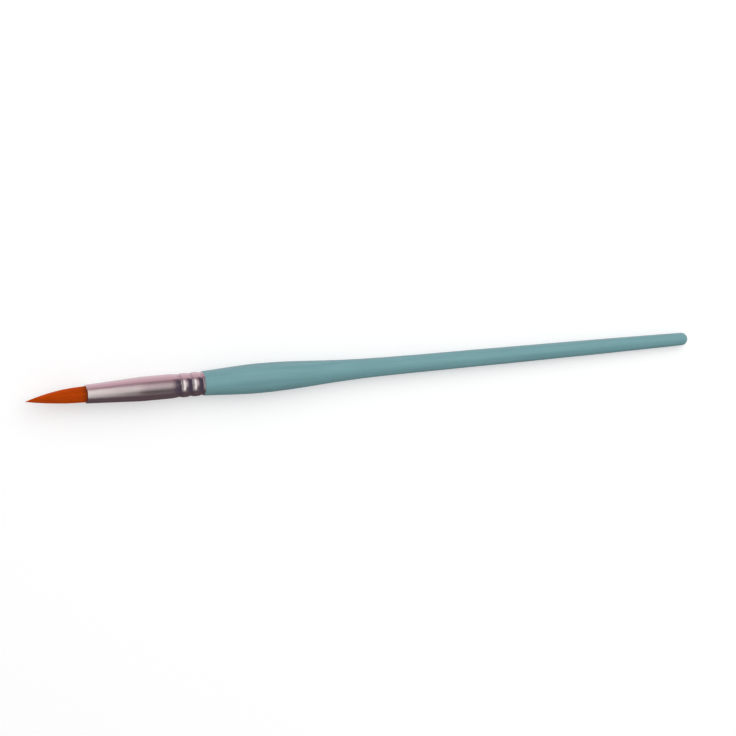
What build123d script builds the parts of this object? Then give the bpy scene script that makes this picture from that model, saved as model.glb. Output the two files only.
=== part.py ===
"""Fine detail brush: a pointed round tuft in a tapered, crimped metal ferrule on a turned handle.

Units are millimetres. The brush lies along X with its tip towards -X, and +Z is up.
The origin is on the brush's axis, at the seat on the taper where the rim of a holder takes it.
"""
import os
from math import acos, asin, atan, cos, degrees, pi, sin, tan

from build123d import *

# Lengths along the brush
tuft_out = 15.0  # tuft that stands out of the ferrule's mouth
ferrule_length = 29.5
handle_out = 130.5  # handle that stands out behind the ferrule

# Ferrule
barrel_dia = 5.95  # its widest, straight stretch
mouth_dia = 4.5
ferrule_wall = 0.3
cone_length = 14.0  # from the mouth to where the cone's line meets the barrel's
cone_blend = 40.0  # radius that eases the cone into the barrel
lip_outer_round = 0.12
lip_inner_round = 0.08

# Crimps: pressed grooves round the back of the ferrule, with raised beads between them
crimp_count = 3
crimp_pitch = 2.8
crimp_depth = 0.24
crimp_radius = 0.4  # at the bottom of a groove
crimp_from_joint = 0.5  # last groove, from the ferrule's back edge
crimp_shoulder = 12.0  # radius that eases the barrel into the first groove

# Handle
belly_dia = 7.3
belly_from_joint = 15.0
seat_dia = 5.45  # on the taper behind the belly, where a holder takes the brush
seat_from_joint = 34.5
slim_dia = 4.4  # where the handle has become slim
slim_from_joint = 60.0
tail_dia = 3.2  # the rounded end
tail_slope = 0.015  # fall of the radius for each millimetre, as the taper reaches the end
neck_slope = 0.05  # rise of the radius for each millimetre, as the handle leaves the ferrule
neck_round = 0.15
tenon_chamfer = 0.5

# Glue round the tenon
glue_film = 0.08
glue_back = 0.3  # bare tenon at the ferrule's back edge
glue_front = 0.9  # bare tenon at its front end

# Root of the tuft, inside the ferrule
root_depth = 11.3  # tuft inside the mouth
mouth_grip = 1.5  # stretch of the tuft that fills the ferrule behind its mouth
root_squeeze = 0.1  # the tied root's radius is this much smaller than at the mouth
waist_squeeze = 0.15  # and the tie pulls it in by this much more
thread_dia = 0.25
thread_turns = 6
thread_spacing = 0.03  # between one turn and the next
thread_clearance = 0.01
waist_spare = 0.1  # bare waist beyond the first turn and the last

# Resin plug round and behind the root
resin_round_root = 0.5
resin_behind_root = 3.4
resin_to_thread = 0.1
resin_to_tenon = 1.8  # air between the plug and the handle's tenon

# Places along X
x_joint = -seat_from_joint
x_mouth = x_joint - ferrule_length
x_tip = x_mouth - tuft_out
x_tail = x_joint + handle_out
x_root = x_mouth + root_depth
x_resin_front = x_root - resin_round_root
x_resin_back = x_root + resin_behind_root
x_tenon = x_resin_back + resin_to_tenon

# Radii
barrel_r = barrel_dia / 2
mouth_r = mouth_dia / 2
belly_r = belly_dia / 2
tail_r = tail_dia / 2

# The cone
x_corner = x_mouth + cone_length
cone_angle = atan((barrel_r - mouth_r) / cone_length)
x_barrel_front = x_corner + cone_blend * tan(cone_angle / 2)

# The crimps are tight arcs turned in and broad ones turned out, that meet where they are tangent
wave_angle = 2 * atan(2 * crimp_depth / crimp_pitch)
bead_radius = crimp_pitch / (2 * sin(wave_angle)) - crimp_radius
x_back_groove = x_joint - crimp_from_joint
x_front_groove = x_back_groove - (crimp_count - 1) * crimp_pitch
shoulder_angle = acos(1 - crimp_depth / (crimp_radius + crimp_shoulder))
x_barrel_back = x_front_groove - (crimp_radius + crimp_shoulder) * sin(shoulder_angle)

UP = pi / 2
DOWN = 3 * pi / 2


def bore_radius(x, inset=ferrule_wall):
    """Radius of the cone's line, moved in by inset, at a place behind the mouth."""
    return mouth_r + (x - x_mouth) * tan(cone_angle) - inset / cos(cone_angle)


# The tuft's radii, from the bore that holds it
tuft_r = bore_radius(x_mouth)
root_r = tuft_r - root_squeeze
waist_r = root_r - waist_squeeze
thread_pitch = thread_dia + thread_spacing
winding_length = thread_turns * thread_pitch
x_waist_back = x_resin_front - resin_to_thread
x_winding_back = x_waist_back - waist_spare - thread_dia / 2
x_waist_front = x_winding_back - winding_length - thread_dia / 2 - waist_spare


def arc(x, y, radius, start, end):
    """An arc about (x, y) from one angle to another, in radians."""
    return CenterArc((x, y), radius, degrees(start), degrees(end - start))


def turned(edges):
    """Close edges down to the brush's axis and turn them into a solid."""
    outline = Wire(edges)
    ends = (outline @ 0, outline @ 1)
    sides = [Line(end, (end.X, 0)) for end in ends if end.Y > 1e-9]
    base = Line((ends[0].X, 0), (ends[1].X, 0))
    return revolve(make_face([*edges, *sides, base]), Axis.X)


def slab(x_from, x_to):
    """All that lies between two places along the brush."""
    wide = 4 * max(belly_r, barrel_r)
    return Pos((x_from + x_to) / 2, 0, 0) * Box(abs(x_to - x_from), wide, wide)


def ferrule_form(inset):
    """The solid form inside the ferrule's outer line, with that line moved in by inset."""
    y_bead = barrel_r - bead_radius
    y_groove = barrel_r - crimp_depth + crimp_radius
    edge_angle = asin((crimp_pitch / 2 - crimp_from_joint) / (bead_radius - inset))
    line = []
    for number in range(crimp_count):
        x_groove = x_back_groove - number * crimp_pitch
        x_bead = x_groove + crimp_pitch / 2
        bead_start = UP + (edge_angle if number == 0 else -wave_angle)
        groove_end = DOWN - (shoulder_angle if number == crimp_count - 1 else wave_angle)
        line += [
            arc(x_bead, y_bead, bead_radius - inset, bead_start, UP + wave_angle),
            arc(x_groove, y_groove, crimp_radius + inset, DOWN + wave_angle, groove_end),
        ]
    y_shoulder = barrel_r - crimp_shoulder
    y_blend = barrel_r - cone_blend
    barrel_y = barrel_r - inset
    blend = arc(x_barrel_front, y_blend, cone_blend - inset, UP, UP + cone_angle)
    line += [
        arc(x_barrel_back, y_shoulder, crimp_shoulder - inset, UP - shoulder_angle, UP),
        Line((x_barrel_back, barrel_y), (x_barrel_front, barrel_y)),
        blend,
        Line(blend @ 1, (x_mouth, bore_radius(x_mouth, inset))),
    ]
    return turned(line)


def mouth_edges(tube):
    """The circles at the ferrule's mouth, the smallest first."""
    circles = tube.edges().filter_by(GeomType.CIRCLE)
    return circles.group_by(Axis.X)[0].sort_by(SortBy.RADIUS)


def make_ferrule():
    """The drawn tube, crimped at its back, with the edges of its mouth rounded."""
    tube = ferrule_form(0) - ferrule_form(ferrule_wall)
    tube = fillet(mouth_edges(tube)[-1], lip_outer_round)
    return fillet(mouth_edges(tube)[0], lip_inner_round)


def make_handle():
    """The turned handle: neck, belly, taper and round tail, with the tenon in front."""
    tail_angle = atan(tail_slope)
    x_tail_centre = x_tail - tail_r
    neck = (x_joint, barrel_r)
    belly = (x_joint + belly_from_joint, belly_r)
    seat = (x_joint + seat_from_joint, seat_dia / 2)
    slim = (x_joint + slim_from_joint, slim_dia / 2)
    tail = arc(x_tail_centre, 0, tail_r, UP - tail_angle, 0)
    rise = Spline(neck, belly, tangents=[(1, neck_slope), (1, 0)])
    fall = Spline(belly, seat, slim, tail @ 0, tangents=[(1, 0), (1, -tail_slope)])
    body = turned([rise, fall, tail])
    return fillet(body.edges().group_by(Axis.X)[0], neck_round) + make_tenon()


def make_tenon():
    """The handle's end inside the ferrule, pressed to the shape of its crimps."""
    inset = ferrule_wall + glue_film
    front_r = barrel_r - inset - tenon_chamfer
    x_wide = x_tenon + belly_r - front_r
    blunt_cone = Polyline((x_tenon, front_r), (x_wide, belly_r), (x_joint, belly_r))
    return ferrule_form(inset) & turned(blunt_cone.edges())


def make_handle_glue():
    """The film of glue that fills the gap between the tenon and the ferrule."""
    film = ferrule_form(ferrule_wall) - ferrule_form(ferrule_wall + glue_film)
    return film & slab(x_tenon + glue_front, x_joint - glue_back)


def make_tuft():
    """The bundle of filaments: tied root, grip in the mouth, and a point like a parabola."""
    x_grip = x_mouth + mouth_grip
    inside = Polyline(
        (x_root, 0),
        (x_root, root_r),
        (x_waist_back, root_r),
        (x_waist_back, waist_r),
        (x_waist_front, waist_r),
        (x_waist_front - waist_squeeze, root_r),
        (x_grip, bore_radius(x_grip)),
        (x_mouth, tuft_r),
    )
    point = Bezier((x_mouth, tuft_r), (x_mouth - tuft_out / 2, tuft_r), (x_tip, 0))
    return turned([*inside.edges(), point])


def make_binding_thread():
    """One thread, wound round the waist of the root."""
    wind_r = waist_r + thread_dia / 2 + thread_clearance
    path = Helix(thread_pitch, winding_length, wind_r, (x_winding_back, 0, 0), (-1, 0, 0))
    section = Plane(path @ 0, z_dir=path % 0) * Circle(thread_dia / 2)
    return sweep(section, path, is_frenet=True)


def make_root_resin():
    """The plug that fills the ferrule behind the root and grips the root's end."""
    return ferrule_form(ferrule_wall) & slab(x_resin_front, x_resin_back) - make_tuft()


pieces = {
    "handle": make_handle(),
    "ferrule": make_ferrule(),
    "tuft": make_tuft(),
    "binding_thread": make_binding_thread(),
    "root_resin": make_root_resin(),
    "handle_glue": make_handle_glue(),
}

os.makedirs("parts", exist_ok=True)
for name, piece in pieces.items():
    piece.label = name
    export_step(piece, f"parts/{name}.step")
    print(f"{name}: {len(piece.solids())} solid, {piece.volume:.2f} mm3")

print(f"straight barrel: radius {barrel_r:.3f}, x {x_barrel_front:.3f} to {x_barrel_back:.3f}")
print(f"tuft radius at the mouth: {tuft_r:.3f}, tenon: {x_joint - x_tenon:.2f} long")
print(f"joint at x {x_joint:.2f}, mouth at x {x_mouth:.2f}")
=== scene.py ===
# %% [markdown]
# # A fine detail brush
# A pointed brush for small models: a tuft of synthetic filaments, a crimped metal ferrule, and a
# turned and lacquered handle. The pieces come in at their real size and stay where they are. This
# lesson gives each one its finish, and replaces the plain tuft with one made of separate filaments.
# Everything is in metres, with the brush along X, its tip towards -X, and +Z up.

# %% Load the pieces and measure them
from functools import reduce
from math import cos, radians, sin

import bpy
from mathutils import Matrix, Vector


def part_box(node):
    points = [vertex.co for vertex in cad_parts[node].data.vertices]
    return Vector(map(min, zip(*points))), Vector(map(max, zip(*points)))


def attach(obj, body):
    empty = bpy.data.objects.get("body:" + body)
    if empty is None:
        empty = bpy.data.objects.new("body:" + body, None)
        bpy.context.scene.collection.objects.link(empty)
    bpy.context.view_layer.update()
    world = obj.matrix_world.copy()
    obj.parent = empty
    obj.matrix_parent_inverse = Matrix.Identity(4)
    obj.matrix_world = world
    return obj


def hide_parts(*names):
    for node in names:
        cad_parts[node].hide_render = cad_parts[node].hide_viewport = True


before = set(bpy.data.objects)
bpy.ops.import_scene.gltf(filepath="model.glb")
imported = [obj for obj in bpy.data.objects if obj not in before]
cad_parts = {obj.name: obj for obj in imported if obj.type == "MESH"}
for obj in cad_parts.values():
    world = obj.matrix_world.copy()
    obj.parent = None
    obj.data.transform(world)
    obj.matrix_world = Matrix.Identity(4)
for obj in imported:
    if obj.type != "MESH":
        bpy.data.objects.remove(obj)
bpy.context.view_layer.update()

MM = 0.001
mouth_x, joint_x = (corner.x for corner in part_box("ferrule"))
tip_x, root_x = (corner.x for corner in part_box("tuft"))
tail_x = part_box("handle")[1].x
print(f"tip {tip_x:.4f}, mouth {mouth_x:.4f}, joint {joint_x:.4f}, tail {tail_x:.4f}")


# %% [markdown]
# ## Radii along the brush
# Every piece of this brush was turned or drawn, so it is round about the X axis, and one number says
# how thick it is at a place: how far its surface lies from the axis. Only points that face away from
# the axis count, which leaves out the inside of the ferrule's tube. Reading the radii from the pieces
# keeps the tuft and the colours in step with them, whatever size they are.

# %% Read a piece's outline
def outline(node):
    """The radius at each place along a turned piece, from those of its points that face out."""
    radius = {}
    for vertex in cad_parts[node].data.vertices:
        if vertex.normal.yz.dot(vertex.co.yz) > 0:
            x = round(vertex.co.x, 6)
            radius[x] = max(radius.get(x, 0), vertex.co.yz.length)
    return sorted(radius.items())


def radius_near(node, place):
    """A turned piece's radius at the ring of points nearest to a place."""
    return min(outline(node), key=lambda ring: abs(ring[0] - place))[1]


tuft_radius = radius_near("tuft", mouth_x)
belly_x, belly_radius = max(outline("handle"), key=lambda ring: ring[1])
print(f"tuft radius {tuft_radius:.5f}, belly radius {belly_radius:.5f} at {belly_x:.4f}")


# %% [markdown]
# ## Short ways to write node trees
# Materials and geometry are both trees of nodes. A small class keeps the lines that build them
# short: each call adds one node, and an input takes a plain value or the output that feeds it.

# %% A writer of node trees
class Tree:
    """A node tree, with short ways to add the nodes that it needs."""

    def __init__(self, tree):
        self.tree = tree

    def add(self, kind, inputs=None, **settings):
        """Add a node. An input is named or numbered, and takes a value or an output."""
        node = self.tree.nodes.new(kind)
        for name, value in settings.items():
            setattr(node, name, value)
        for name, value in (inputs or {}).items():
            self.feed(value, node.inputs[name])
        return node

    def feed(self, value, socket):
        """Set an input to a value, or link an output to it. A colour needs only its three parts."""
        if isinstance(value, bpy.types.NodeSocket):
            self.tree.links.new(value, socket)
        elif socket.type == "RGBA":
            socket.default_value = (*value, 1)
        else:
            socket.default_value = value

    def math(self, operation, *values):
        """One step of arithmetic on numbers."""
        return self.add("ShaderNodeMath", dict(enumerate(values)), operation=operation).outputs[0]

    def product(self, *values):
        """Two or more numbers multiplied together."""
        return reduce(lambda a, b: self.math("MULTIPLY", a, b), values)

    def weighed(self, first, second, weight):
        """The sum of two numbers, the first with this weight and the second with the rest of it."""
        rest = self.math("MULTIPLY", second, 1 - weight)
        return self.math("MULTIPLY_ADD", first, weight, rest)

    def ramp_value(self, value, low, high, to_low=0.0, to_high=1.0, smooth=False):
        """Carry a value from one range to another, and no further than its ends."""
        inputs = {
            "Value": value,
            "From Min": low,
            "From Max": high,
            "To Min": to_low,
            "To Max": to_high,
        }
        shape = "SMOOTHSTEP" if smooth else "LINEAR"
        node = self.add("ShaderNodeMapRange", inputs, interpolation_type=shape)
        return node.outputs["Result"]


print("a tree writer, for materials and for geometry")


# %% [markdown]
# ## The tuft: how one filament runs
# The tuft is a few hundred to a thousand tapered nylon filaments. They are bundled, tied round the
# root with thread, set in the ferrule with resin, and cupped so that they curve in to a point. It
# could be a solid with a streaky colour, but a brush is judged by its hairs, so here each filament
# is a real closed strand. All of them follow one line, drawn here from root to tip: in at the
# thread's waist, out to the ferrule's bore, then straight out past its mouth. The rule that brings
# them to a point comes in the next step.

# %% Draw the line that every filament follows
filament_radius = 0.055 * MM
steps_outside = 7
point_x = tip_x + 0.01 * MM  # a hair inside the plain tuft's own tip
beside_thread = 0.05 * MM

thread_front, thread_back = (corner.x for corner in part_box("binding_thread"))
tied_from = thread_front - 0.2 * MM
waist_radius = min(radius for x, radius in outline("tuft") if tied_from < x < root_x)
root_radius = radius_near("tuft", root_x)
grip_x, grip_radius = max(outline("tuft"), key=lambda ring: ring[1])
waist_slope = root_radius - waist_radius

stations = [
    (root_x, root_radius),
    (thread_back + beside_thread, waist_radius),
    (thread_front - beside_thread, waist_radius),
    (thread_front - waist_slope, root_radius),
    (grip_x, grip_radius),
    (mouth_x, tuft_radius),
]
for step in range(1, steps_outside + 1):
    stations.append((mouth_x + (point_x - mouth_x) * step / steps_outside, tuft_radius))

line_mesh = bpy.data.meshes.new("filament_line")
corners = [(x, radius - filament_radius, 0) for x, radius in stations]
line_mesh.from_pydata(corners, [(n, n + 1) for n in range(len(corners) - 1)], [])
tuft = bpy.data.objects.new("tuft_filaments", line_mesh)
bpy.context.scene.collection.objects.link(tuft)
print(f"{len(stations)} points on a filament, waist radius {waist_radius:.5f}")


# %% [markdown]
# ## The tuft: a thousand filaments from one rule
# A thousand strands are too many to place by hand and all obey one rule, which is what Geometry
# Nodes are for. The line above is copied once for each filament. Its share says how far out from the
# middle it sits, and its turn says where round the bundle, by the golden angle that packs sunflower
# seeds, so that the section is filled evenly. Past the mouth every strand curves in as the square of
# the way to the tip. A strand that cups a little less than the whole bundle meets its surface early,
# and is cut off there, which leaves the fine ends that show along a real point.

# %% Start the tree and name its inputs
bundle = bpy.data.node_groups.new("filament_bundle", "GeometryNodeTree")
bundle.interface.new_socket("Geometry", in_out="OUTPUT", socket_type="NodeSocketGeometry")
bundle.interface.new_socket("Geometry", in_out="INPUT", socket_type="NodeSocketGeometry")
bundle_sizes = {
    "Filaments": ("NodeSocketInt", 1150),
    "Seed": ("NodeSocketInt", 7),
    "Filament Radius": ("NodeSocketFloat", filament_radius),
    "Mouth": ("NodeSocketFloat", mouth_x),
    "Length": ("NodeSocketFloat", mouth_x - point_x),
    "Slack": ("NodeSocketFloat", 0.08),
    "Droop": ("NodeSocketFloat", 0.5 * MM),
    "Clumping": ("NodeSocketFloat", 0.16 * MM),
    "Material": ("NodeSocketMaterial", None),
}
for name, (kind, _) in bundle_sizes.items():
    bundle.interface.new_socket(name, in_out="INPUT", socket_type=kind)
print(f"{len(bundle_sizes)} named inputs")

# %% One line for each filament
t = Tree(bundle)
given = t.add("NodeGroupInput").outputs
path = t.add("GeometryNodeMeshToCurve", {"Mesh": given["Geometry"]})
seats = t.add("GeometryNodePoints", {"Count": given["Filaments"]})
copies = t.add(
    "GeometryNodeInstanceOnPoints",
    {"Points": seats.outputs[0], "Instance": path.outputs[0]},
)
strands = t.add("GeometryNodeRealizeInstances", {"Geometry": copies.outputs[0]})
number = t.add("GeometryNodeCurveOfPoint").outputs["Curve Index"]
at = t.add("ShaderNodeSeparateXYZ", {0: t.add("GeometryNodeInputPosition").outputs[0]}).outputs


def chance(low, high, offset):
    """A random number for each filament, the same along all of it. Each offset draws anew."""
    seed = t.math("ADD", given["Seed"], offset)
    inputs = {"ID": number, "Seed": seed, 2: low, 3: high}
    return t.add("FunctionNodeRandomValue", inputs, data_type="FLOAT").outputs[1]


print("each filament has its number, its line and its own chances")

# %% Where each filament sits in the bundle
golden_turn = 2.39996  # radians
scatter = t.math("ADD", number, chance(0.1, 0.9, offset=1))
share = t.math("SQRT", t.math("DIVIDE", scatter, given["Filaments"]))
turn = t.math("MULTIPLY_ADD", number, golden_turn, chance(-0.04, 0.04, offset=2))
slack = t.product(given["Slack"], t.math("POWER", chance(0, 1, offset=3), 3))
cupping = t.math("SUBTRACT", 1, slack)
print("share from the middle, turn round it, and how far it cups")

# %% Where each filament ends, and how it curves in
inward = t.math("SUBTRACT", 1, t.product(share, cupping))
reach = t.math("SQRT", t.math("DIVIDE", t.math("SUBTRACT", 1, share), inward))
whole_way = t.math("DIVIDE", t.math("SUBTRACT", given["Mouth"], at["X"]), given["Length"])
outside = t.math("MAXIMUM", whole_way, 0)
way = t.product(outside, reach)
way_squared = t.product(way, way)
narrowing = t.math("SUBTRACT", 1, t.product(way_squared, cupping))
off_axis = t.product(at["Y"], share, narrowing)
cut_off = t.product(t.math("SUBTRACT", outside, way), given["Length"])
print("an end for each filament on the surface of the point")

# %% Gather the filaments into faint clumps, and let the tip droop
turn_y, turn_z = t.math("COSINE", turn), t.math("SINE", turn)
seat = {0: t.product(turn_y, share), 1: t.product(turn_z, share), 2: given["Seed"]}
seat_in_bundle = t.add("ShaderNodeCombineXYZ", seat).outputs[0]
clump_inputs = {"Vector": seat_in_bundle, "Scale": 3.2, "Detail": 1.5}
clumps = t.add("ShaderNodeTexNoise", clump_inputs).outputs["Color"]
middle_grey = (0.5, 0.5, 0.5)
pull = t.add("ShaderNodeVectorMath", {0: clumps, 1: middle_grey}, operation="SUBTRACT")
pulled = t.add("ShaderNodeSeparateXYZ", {0: pull.outputs[0]}).outputs
clump_size = t.product(given["Clumping"], way, narrowing)
y = t.math("MULTIPLY_ADD", turn_y, off_axis, t.product(pulled["X"], clump_size))
z = t.math("MULTIPLY_ADD", turn_z, off_axis, t.product(pulled["Y"], clump_size))
drooped_y = t.math("SUBTRACT", y, t.product(given["Droop"], way_squared))
new_place = t.add(
    "ShaderNodeCombineXYZ",
    {0: t.math("ADD", at["X"], cut_off), 1: drooped_y, 2: z},
)
bent = t.add(
    "GeometryNodeSetPosition",
    {"Geometry": strands.outputs[0], "Position": new_place.outputs[0]},
)
print("clumps and droop, both growing towards the tip")

# %% Give the strands their taper and turn them into a mesh
tone = t.add(
    "GeometryNodeStoreNamedAttribute",
    {"Geometry": bent.outputs[0], "Name": "tone", "Value": chance(0, 1, offset=4)},
    data_type="FLOAT",
    domain="POINT",
)
taper_from, fine_end = 0.45, 0.16
taper = t.ramp_value(outside, taper_from, 1, 1, fine_end)
sides = 5
section = t.add(
    "GeometryNodeCurvePrimitiveCircle",
    {"Resolution": sides, "Radius": given["Filament Radius"]},
    mode="RADIUS",
)
profile = {"Profile Curve": section.outputs[0], "Scale": taper, "Fill Caps": True}
strand_mesh = t.add("GeometryNodeCurveToMesh", {"Curve": tone.outputs[0], **profile})
smooth = t.add("GeometryNodeSetShadeSmooth", {"Geometry": strand_mesh.outputs[0]})
real = t.add("GeometryNodeRealizeInstances", {"Geometry": smooth.outputs[0]})
finished = t.add(
    "GeometryNodeSetMaterial", {"Geometry": real.outputs[0], "Material": given["Material"]}
)
t.add("NodeGroupOutput", {0: finished.outputs[0]})
print(f"{len(bundle.nodes)} nodes in the tree")


# %% [markdown]
# ## The filaments' finish
# Golden synthetic filament is nylon, dyed through to a deep orange and drawn so that it shines softly
# along its length. Each strand takes a slightly different tone. Next to the ferrule's mouth the tuft
# is browned by painted shade, and the root inside is stained dark by the resin that holds it.

# %% A start for every finish
def new_finish(name):
    """A material with its tree, its main shader, and the piece's own coordinates."""
    material = bpy.data.materials.new(name)
    material.use_nodes = True
    tree = Tree(material.node_tree)
    shader = material.node_tree.nodes["Principled BSDF"]
    place = tree.add("ShaderNodeTexCoord").outputs["Object"]
    return material, tree, shader, place


def blend_colours(tree, share, low, high):
    """One colour turning into another as the share goes from 0 to 1."""
    inputs = {0: share, 6: low, 7: high}
    return tree.add("ShaderNodeMix", inputs, data_type="RGBA").outputs[2]


def noise(tree, place, waves, along=1, detail=2.0):
    """Soft random values, with so many waves to the metre, and only a part of that along the brush."""
    inputs = {"Vector": place, "Scale": (along, 1, 1)}
    drawn_out = tree.add("ShaderNodeMapping", inputs).outputs[0]
    inputs = {"Vector": drawn_out, "Scale": waves, "Detail": detail}
    return tree.add("ShaderNodeTexNoise", inputs).outputs[0]


def vary_roughness(tree, shader, pattern, smoothest, roughest, spread=0.2):
    """Let a noise, which lies about 0.5, carry the roughness between two levels."""
    level = tree.ramp_value(pattern, 0.5 - spread, 0.5 + spread, smoothest, roughest)
    tree.feed(level, shader.inputs["Roughness"])


def bump(tree, shader, height, distance):
    """Let a height stand off the surface by a real distance."""
    inputs = {"Height": height, "Distance": distance}
    tree.feed(tree.add("ShaderNodeBump", inputs).outputs[0], shader.inputs["Normal"])


print("helpers for finishes")

# %% Mix the filament's orange
def make_filament():
    """Dyed nylon: a tone for each strand, browned by painted shade next to the mouth, dark in the
    resin.
    """
    material, tree, shader, place = new_finish("orange_filament")
    deep_orange, light_orange = (0.48, 0.054, 0.0004), (0.76, 0.104, 0.0006)
    # the first brown is painted shade next to the ferrule's mouth, the second is the resin's stain
    mouth_shade_brown, resin_brown = (0.16, 0.034, 0.008), (0.10, 0.035, 0.008)
    mouth_shade_share, soaked_share = 0.4, 0.8
    mouth_shade_from, mouth_shade_full = mouth_x - 1.6 * MM, mouth_x - 0.1 * MM
    soaked_from, soaked_full = mouth_x + 1.0 * MM, root_x - 3.0 * MM

    along = tree.add("ShaderNodeSeparateXYZ", {0: place}).outputs["X"]
    strand = tree.add("ShaderNodeAttribute", attribute_name="tone").outputs["Fac"]
    patch = noise(tree, place, 900, along=0.12)
    colour = blend_colours(tree, tree.weighed(strand, patch, 0.6), deep_orange, light_orange)
    # painted shade: the tuft turns browner next to the ferrule's mouth
    mouth_shade = tree.ramp_value(along, mouth_shade_from, mouth_shade_full, smooth=True)
    colour = blend_colours(tree, tree.product(mouth_shade, mouth_shade_share), colour, mouth_shade_brown)
    soaked = tree.ramp_value(along, soaked_from, soaked_full, smooth=True)
    colour = blend_colours(tree, tree.product(soaked, soaked_share), colour, resin_brown)
    tree.feed(colour, shader.inputs["Base Color"])

    vary_roughness(tree, shader, patch, smoothest=0.38, roughest=0.52)
    shader.inputs["Specular IOR Level"].default_value = 0.08
    scratches = noise(tree, place, 5000, along=0.05)
    bump(tree, shader, scratches, distance=0.004 * MM)
    return material


filament = make_filament()
print(filament.name)

# %% Grow the tuft and make it a plain mesh
def run_tree(piece, tree, sizes):
    """Run a geometry tree on a piece with these sizes, and keep what it makes as a mesh."""
    modifier = piece.modifiers.new(tree.name, "NODES")
    modifier.node_group = tree
    for item in tree.interface.items_tree:
        if item.in_out == "INPUT" and item.name in sizes:
            modifier[item.identifier] = sizes[item.name]
    evaluated = piece.evaluated_get(bpy.context.evaluated_depsgraph_get())
    mesh = bpy.data.meshes.new_from_object(evaluated)
    piece.modifiers.remove(modifier)
    piece.data = mesh
    mesh.name = piece.name


sizes = {name: value for name, (_, value) in bundle_sizes.items()}
sizes["Material"] = filament
run_tree(tuft, bundle, sizes)
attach(tuft, "root")
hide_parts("tuft")
print(f"{len(tuft.data.polygons)} faces in the tuft")


# %% [markdown]
# ## The handle's lacquer
# The handle is turned from a close-grained hardwood, sealed, and dipped in coloured lacquer that is
# rubbed down to a satin sheen. A flat turquoise would look like plastic. What tells the eye that it
# is lacquer over wood is small: a faint orange-peel waviness, the long grain showing through as
# fine lines, a slow change of tone, and a sheen that handling has polished unevenly. The tenon
# inside the ferrule was masked off, so there the wood is bare.

# %% Lay lacquer over wood
def wood_colour(tree, place):
    """Bare turned hardwood: pale, with long fine grain."""
    grain_brown, pale_wood = (0.42, 0.27, 0.14), (0.66, 0.48, 0.29)
    grain = noise(tree, place, 1500, along=0.03, detail=4)
    return blend_colours(tree, grain, grain_brown, pale_wood)


def make_lacquered_wood():
    """Turquoise lacquer over long grain, with small pale nibs in it, and bare wood on the tenon."""
    material, tree, shader, place = new_finish("turquoise_lacquer")
    deep_turquoise, light_turquoise = (0.148, 0.324, 0.346), (0.202, 0.410, 0.436)
    nib_colour, nib_share = (0.30, 0.50, 0.52), 0.35
    nib_edge, nib_middle = 0.72, 0.76
    edge_front, edge_back, edge_wander = 0.05 * MM, 0.03 * MM, 0.05 * MM

    slow = noise(tree, place, 90, along=0.5)
    grain = noise(tree, place, 1300, along=0.03, detail=3)
    lines = tree.ramp_value(grain, 0.35, 0.65)
    tone = tree.weighed(slow, lines, 0.6)
    lacquer = blend_colours(tree, tone, deep_turquoise, light_turquoise)
    nib = tree.ramp_value(noise(tree, place, 2600, detail=1), nib_edge, nib_middle)
    lacquer = blend_colours(tree, tree.product(nib, nib_share), lacquer, nib_colour)

    along = tree.add("ShaderNodeSeparateXYZ", {0: place}).outputs["X"]
    ragged = tree.math("MULTIPLY_ADD", grain, edge_wander, along)
    painted = tree.ramp_value(ragged, joint_x - edge_front, joint_x + edge_back)
    colour = blend_colours(tree, painted, wood_colour(tree, place), lacquer)
    tree.feed(colour, shader.inputs["Base Color"])

    handled = noise(tree, place, 260, along=0.35, detail=3)
    vary_roughness(tree, shader, handled, smoothest=0.34, roughest=0.50, spread=0.15)
    shader.inputs["Specular IOR Level"].default_value = 0.45
    peel = noise(tree, place, 800, detail=1)
    bump(tree, shader, tree.weighed(peel, grain, 0.7), distance=0.012 * MM)
    return material


lacquered_wood = make_lacquered_wood()
print(lacquered_wood.name)


# %% [markdown]
# ## The ferrule's metal
# The ferrule is drawn from aluminium tube through ever smaller dies, then rolled in three places
# onto the tenon. Drawing leaves long fine scratches along it, which stretch its reflections sideways.
# The beads between the crimps are rubbed bright, and the grooves hold a little dull oxide that makes
# them rougher; their darker purplish colour is partly that oxide and partly painted shade. Metal has
# no colour of its own to vary, so nearly all of this goes into how rough it is and how it is bumped.

# %% Draw the metal
crimps_start, crimps_full = joint_x - 8.0 * MM, joint_x - 6.8 * MM
bead_radius = max(radius for x, radius in outline("ferrule"))
groove_radius = min(radius for x, radius in outline("ferrule") if x > crimps_full)
print(f"beads {bead_radius:.5f}, grooves {groove_radius:.5f}")


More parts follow.
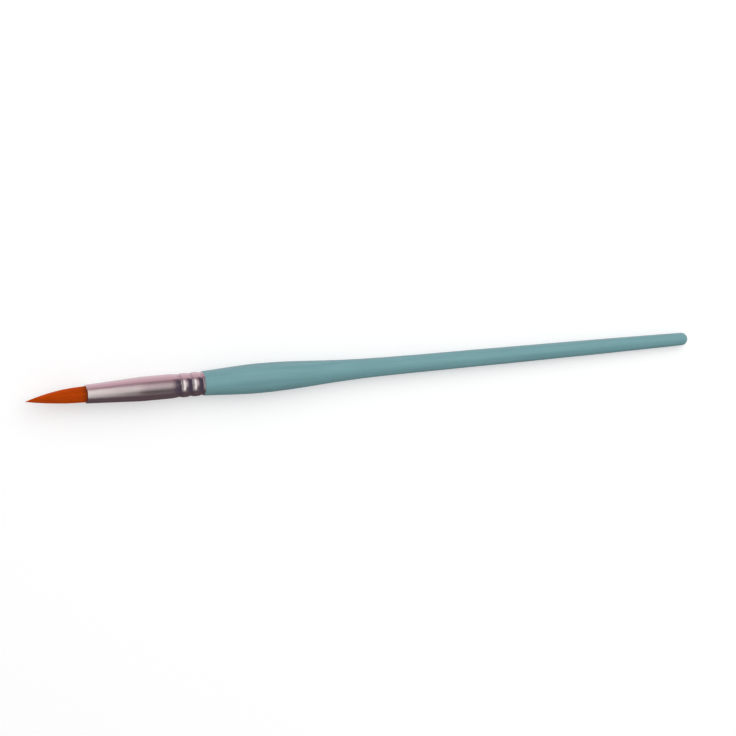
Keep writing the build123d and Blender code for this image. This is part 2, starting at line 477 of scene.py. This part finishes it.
def make_ferrule_metal():
    """Drawn aluminium: fine scratches along it, a worn sheen, and oxide and painted shade in the
    grooves.
    """
    material, tree, shader, place = new_finish("drawn_aluminium")
    shader.inputs["Metallic"].default_value = 1.0
    # the third colour is partly oxide and partly painted shade, for the grooves
    grey, light_grey, oxide_and_shade = (0.64, 0.60, 0.60), (0.75, 0.72, 0.72), (0.30, 0.27, 0.31)
    oxide_and_shade_share, oxide_roughness = 0.4, 0.08
    below_bead, above_bottom = 0.06 * MM, 0.03 * MM

    parts = tree.add("ShaderNodeSeparateXYZ", {0: place}).outputs
    across = tree.add("ShaderNodeCombineXYZ", {1: parts["Y"], 2: parts["Z"]}).outputs[0]
    radius = tree.add("ShaderNodeVectorMath", {0: across}, operation="LENGTH").outputs["Value"]
    crimped = tree.ramp_value(parts["X"], crimps_start, crimps_full, smooth=True)
    # the grooves' mask: it makes them rougher and carries their painted shade
    dull_and_shaded_from, dull_and_shaded_to = bead_radius - below_bead, groove_radius + above_bottom
    dull_and_shaded = tree.product(crimped, tree.ramp_value(radius, dull_and_shaded_from, dull_and_shaded_to, smooth=True))

    streak = noise(tree, place, 2400, along=0.02, detail=3)
    bright = blend_colours(tree, streak, grey, light_grey)
    # painted shade, with some oxide, darkens the grooves
    colour = blend_colours(tree, tree.product(dull_and_shaded, oxide_and_shade_share), bright, oxide_and_shade)
    tree.feed(colour, shader.inputs["Base Color"])

    drawn = tree.ramp_value(streak, 0.3, 0.7, to_low=0.13, to_high=0.22)
    cloud = noise(tree, place, 420, along=0.4, detail=3)
    worn = tree.math("ADD", drawn, tree.ramp_value(cloud, 0.35, 0.75, to_high=0.05))
    roughness = tree.math("MULTIPLY_ADD", dull_and_shaded, oxide_roughness, worn)
    tree.feed(roughness, shader.inputs["Roughness"])
    bump(tree, shader, streak, distance=0.004 * MM)
    return material


ferrule_metal = make_ferrule_metal()
print(ferrule_metal.name)


# %% [markdown]
# ## Thread, resin and glue
# Three things that the ferrule hides still get their finish, because the brush may be taken apart.
# The binding is a two-ply polyester thread, so its plies show as slanting lines. The root is set in
# amber resin that holds a few bubbles. The tenon sits in pale wood glue, dried milky.

# %% Mix the thread, the resin and the glue
def make_thread():
    """Two plies of pale polyester, whose twist shows as slanting lines round each turn."""
    material, tree, shader, place = new_finish("polyester_thread")
    shadow, light = (0.46, 0.42, 0.34), (0.80, 0.77, 0.68)
    twists_round, twists_along = 46, 22000

    parts = tree.add("ShaderNodeSeparateXYZ", {0: place}).outputs
    turn = tree.math("ARCTAN2", parts["Z"], parts["Y"])
    slant = tree.math("MULTIPLY_ADD", turn, twists_round, tree.product(parts["X"], twists_along))
    ply = tree.math("MULTIPLY_ADD", tree.math("SINE", slant), 0.5, 0.5)
    fuzz = noise(tree, place, 9000, detail=2)
    shade = tree.weighed(ply, fuzz, 0.7)
    tree.feed(blend_colours(tree, shade, shadow, light), shader.inputs["Base Color"])
    vary_roughness(tree, shader, fuzz, smoothest=0.6, roughest=0.85)
    bump(tree, shader, shade, distance=0.02 * MM)
    return material


def make_resin():
    """Clouded amber epoxy with pale hollows where bubbles broke."""
    material, tree, shader, place = new_finish("amber_resin")
    dark_amber, light_amber = (0.30, 0.12, 0.018), (0.52, 0.25, 0.05)
    hollow_amber, hollow_size, hollow_rim = (0.66, 0.42, 0.14), 0.16, 0.24

    cloud = noise(tree, place, 700, detail=3)
    bubble = tree.add("ShaderNodeTexVoronoi", {"Vector": place, "Scale": 1800}).outputs["Distance"]
    solid = tree.ramp_value(bubble, hollow_size, hollow_rim, smooth=True)
    amber = blend_colours(tree, cloud, dark_amber, light_amber)
    tree.feed(blend_colours(tree, solid, hollow_amber, amber), shader.inputs["Base Color"])
    vary_roughness(tree, shader, cloud, smoothest=0.12, roughest=0.26)
    bump(tree, shader, solid, distance=0.03 * MM)
    return material


def make_wood_glue():
    """Wood glue dried to a milky yellow, with the marks of the wood's fibres in it."""
    material, tree, shader, place = new_finish("dried_wood_glue")
    yellow, milky = (0.60, 0.50, 0.28), (0.78, 0.70, 0.48)

    cloud = noise(tree, place, 900, along=0.5, detail=3)
    tree.feed(blend_colours(tree, cloud, yellow, milky), shader.inputs["Base Color"])
    vary_roughness(tree, shader, cloud, smoothest=0.28, roughest=0.5)
    fibre = noise(tree, place, 3000, along=0.1, detail=2)
    bump(tree, shader, fibre, distance=0.01 * MM)
    return material


thread, resin, wood_glue = make_thread(), make_resin(), make_wood_glue()
print(thread.name, resin.name, wood_glue.name)

# %% Put each finish on its piece
finishes = {
    "handle": lacquered_wood,
    "ferrule": ferrule_metal,
    "binding_thread": thread,
    "root_resin": resin,
    "handle_glue": wood_glue,
}
for name, finish in finishes.items():
    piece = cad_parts[name]
    for slot in piece.material_slots:
        slot.material = finish
    print(f"{name}: {finish.name}, {len(piece.material_slots)} slot")


# %% [markdown]
# ## A surface for the brush to lie on
# A round brush laid on a table touches it at two places, the belly and the tail, with the tuft held
# clear. The pieces don't move, so it is the floor that is tilted, by a degree or so. Its white is
# part lamplight and part a glow of its own, so that it stays white and still shows the soft shadow.

# %% Find the floor's slope
def slope_to(ring):
    """The slope of a line from the belly's underside to the underside of another ring."""
    return (belly_radius - ring[1]) / (ring[0] - belly_x)


def floor_height(x):
    """The floor's height under a place along the brush."""
    return -belly_radius + (x - belly_x) * floor_slope


clear_of_belly = 20 * MM
tail_rings = [ring for ring in outline("handle") if ring[0] > belly_x + clear_of_belly]
floor_slope = min(slope_to(ring) for ring in tail_rings)
print(f"the floor falls {floor_slope * 1000:.2f} mm in each metre towards the tip")

# %% Lay the floor
def studio_surface(name, corners, faces, material):
    """An object for the studio, which is no part of the brush."""
    mesh = bpy.data.meshes.new(name)
    mesh.from_pydata(corners, [], faces)
    mesh.materials.append(material)
    made = bpy.data.objects.new(name, mesh)
    bpy.context.scene.collection.objects.link(made)
    return made


def seen_directly(tree):
    """1 for what the camera sees, by itself or in a reflection or through glass, and 0 for light."""
    rays = tree.add("ShaderNodeLightPath").outputs
    seen = tree.math("MAXIMUM", rays["Is Camera Ray"], rays["Is Glossy Ray"])
    return tree.math("MAXIMUM", seen, rays["Is Transmission Ray"])


def make_floor_white():
    """Matt white paper, topped up with a little glow of its own where it is seen."""
    own_glow = 0.36
    material, tree, shader, _ = new_finish("floor_white")
    tree.feed((0.72, 0.72, 0.72), shader.inputs["Base Color"])
    shader.inputs["Roughness"].default_value = 0.9
    shader.inputs["Specular IOR Level"].default_value = 0.0
    tree.feed((1, 1, 1), shader.inputs["Emission Color"])
    tree.feed(tree.product(seen_directly(tree), own_glow), shader.inputs["Emission Strength"])
    return material


half_floor = 2.0
floor_square = ((-1, -1), (1, -1), (1, 1), (-1, 1))
floor_plan = [(half_floor * x, half_floor * y) for x, y in floor_square]
floor_corners = [(x, y, floor_height(x)) for x, y in floor_plan]
floor = studio_surface("floor", floor_corners, [(0, 1, 2, 3)], make_floor_white())
print(f"a floor {2 * half_floor:.0f} m wide")


# %% [markdown]
# ## A paper tent for the metal to reflect
# Bright metal shows its surroundings and little else, so in a studio it stands in a tent of paper
# that is lighter here and darker there. This one is a long half pipe over the brush, with closed ends
# and its feet turned in. It is light overhead, which draws the ferrule's broad bright band;
# dark low down in front, which draws its dark lower edge; and rosy low down behind, past a darker
# strip, which warms the upper edge. Over the front half of the brush the top is whiter still, for the
# beads to catch. Near the brush's two ends and beyond them the paper turns deep violet, which the
# grooves catch. Only reflections see the tent: it casts no shadow and no light, and the camera looks
# straight through it.

# %% Choose the paper's shades
# by the angle round the brush in degrees: 0 is straight up, minus is in front and plus is behind
tent_shades = {
    -180: (0.12, 0.088, 0.10),
    -80: (0.12, 0.083, 0.095),
    -60: (0.20, 0.155, 0.165),
    -36: (0.105, 0.08, 0.085),
    -24: (0.24, 0.19, 0.195),
    -10: (0.50, 0.435, 0.44),
    12: (0.72, 0.61, 0.62),
    32: (0.60, 0.44, 0.48),
    46: (0.33, 0.20, 0.25),
    56: (0.42, 0.26, 0.31),
    72: (0.70, 0.47, 0.53),
    88: (0.76, 0.50, 0.58),
    110: (0.92, 0.69, 0.76),
    126: (0.84, 0.74, 0.77),
    180: (0.80, 0.76, 0.77),
}
violet_shade = (0.09, 0.068, 0.105)
white_shade = (1.40, 1.34, 1.30)

# where each zone begins and where it is full, along the brush in metres
white_from, white_to = 0.0, -0.03
violet_from, violet_to = 0.055, 0.11
dusk_from, dusk_to = -0.075, -0.115

# and round it, as angles in degrees
white_front_from, white_front_to = -66, -38
white_back_from, white_back_to = 58, 32
rose_from, rose_to = 62, 76
print(f"{len(tent_shades)} shades round the brush")

# %% Shade the paper
def make_tent_paper():
    """Glowing paper in shades that follow the angle round the brush and the place along it."""
    material = bpy.data.materials.new("tent_paper")
    material.use_nodes = True
    tree = Tree(material.node_tree)
    tree.tree.nodes.clear()
    place = tree.add("ShaderNodeTexCoord").outputs["Object"]
    parts = tree.add("ShaderNodeSeparateXYZ", {0: place}).outputs
    angle = tree.math("ARCTAN2", parts["Y"], parts["Z"])

    def angle_ramp(start, end):
        """0 at one angle and 1 at the other, in degrees."""
        return tree.ramp_value(angle, radians(start), radians(end))

    ramp = tree.add("ShaderNodeValToRGB", {0: angle_ramp(-180, 180)})
    stops = ramp.color_ramp.elements
    stops.remove(stops[1])
    for number, (degrees, shade) in enumerate(tent_shades.items()):
        stop = stops[0] if number == 0 else stops.new(degrees / 360 + 0.5)
        stop.position = degrees / 360 + 0.5
        stop.color = (*shade, 1)

    front_half = tree.ramp_value(parts["X"], white_from, white_to, smooth=True)
    front_edge = angle_ramp(white_front_from, white_front_to)
    back_edge = angle_ramp(white_back_from, white_back_to)
    overhead = tree.product(front_half, front_edge, back_edge)
    shade = blend_colours(tree, overhead, ramp.outputs["Color"], white_shade)

    past_tail = tree.ramp_value(parts["X"], violet_from, violet_to, smooth=True)
    past_tip = tree.ramp_value(parts["X"], dusk_from, dusk_to, smooth=True)
    outside_rose = angle_ramp(rose_to, rose_from)
    dusk = tree.product(tree.math("MAXIMUM", past_tail, past_tip), outside_rose)
    shade = blend_colours(tree, dusk, shade, violet_shade)
    glow = tree.add("ShaderNodeEmission", {"Color": shade, "Strength": 1.0})
    tree.add("ShaderNodeOutputMaterial", {"Surface": glow.outputs[0]})
    return material


tent_paper = make_tent_paper()
print(tent_paper.name)

# %% Stand the tent over the brush
tent_radius = 0.3
tent_past_end = 0.6
tent_foot = 2 * MM  # from under the brush to where the paper is turned in to
tent_lift = 0.2 * MM  # from the floor to the paper
tent_steps = 24


def tent_section(x):
    """The tent's outline across the brush at one end, from one foot over the top to the other."""
    ground = floor_height(x) + tent_lift
    arc = [radians(-90 + 180 * step / tent_steps) for step in range(tent_steps + 1)]
    over = [(x, tent_radius * sin(a), max(tent_radius * cos(a), ground)) for a in arc]
    return [(x, -tent_foot, ground), *over, (x, tent_foot, ground)]


near_end, far_end = tent_section(tip_x - tent_past_end), tent_section(tail_x + tent_past_end)
width = len(near_end)
tent_strips = [(n, n + 1, width + n + 1, width + n) for n in range(width - 1)]
tent_ends = [tuple(range(width)), tuple(range(width, 2 * width))]
tent = studio_surface("tent", near_end + far_end, tent_strips + tent_ends, tent_paper)
tent.visible_camera = tent.visible_diffuse = False
tent.visible_shadow = tent.visible_transmission = False
print(f"a tent of {len(tent_strips)} strips and {len(tent_ends)} ends")


# %% [markdown]
# ## Light and camera
# One large soft lamp above and behind the brush gives the satin sheen and the soft shadow in front,
# and a plain white surround fills the rest. The camera looks down on the brush with the tip turned
# towards it, so that the ferrule's rings bulge towards the handle.

# %% Set the view
view_turn, view_roll = radians(20), radians(5.3)
camera_distance = 0.8
camera_lens = 158
toward_camera = Vector((-sin(view_turn), 0, cos(view_turn)))
along_view = Vector((cos(view_turn), 0, sin(view_turn)))
across_view = Vector((0, 1, 0))
right = along_view * cos(view_roll) - across_view * sin(view_roll)
up = along_view * sin(view_roll) + across_view * cos(view_roll)
middle = Vector(((tip_x + tail_x) / 2, 0, 0))

camera_data = bpy.data.cameras.new("camera")
camera_data.lens = camera_lens
camera_data.clip_start, camera_data.clip_end = 0.05, 20
camera = bpy.data.objects.new("camera", camera_data)
turn_to_view = Matrix((right, up, toward_camera)).transposed().to_4x4()
camera.matrix_world = Matrix.Translation(middle + toward_camera * camera_distance) @ turn_to_view
bpy.context.scene.collection.objects.link(camera)
bpy.context.scene.camera = camera
print(f"camera {camera_distance} m away, lens {camera_lens} mm")

# %% Light the brush
def soft_lamp(name, direction, distance, size, power):
    """A large square lamp that faces the brush."""
    data = bpy.data.lights.new(name, "AREA")
    data.shape = "SQUARE"
    data.size = size
    data.energy = power
    lamp = bpy.data.objects.new(name, data)
    away = Vector(direction).normalized()
    lamp.location = away * distance
    lamp.rotation_mode = "QUATERNION"
    lamp.rotation_quaternion = away.to_track_quat("Z", "Y")
    lamp.visible_camera = lamp.visible_glossy = False
    bpy.context.scene.collection.objects.link(lamp)


soft_lamp("key_lamp", direction=(0.25, 0.40, 0.90), distance=0.8, size=1.0, power=4.6)
print("one soft lamp")

# %% Fill the room with white
fill_level = 0.50
world = bpy.data.worlds.new("white_room")
world.use_nodes = True
bpy.context.scene.world = world
room = Tree(world.node_tree)
background = world.node_tree.nodes["Background"]
room.feed((1, 1, 1), background.inputs["Color"])
level = room.ramp_value(seen_directly(room), 0, 1, fill_level, 1)
room.feed(level, background.inputs["Strength"])
bpy.context.scene.view_settings.view_transform = "Standard"
print(f"a white surround, with a fill of {fill_level}")
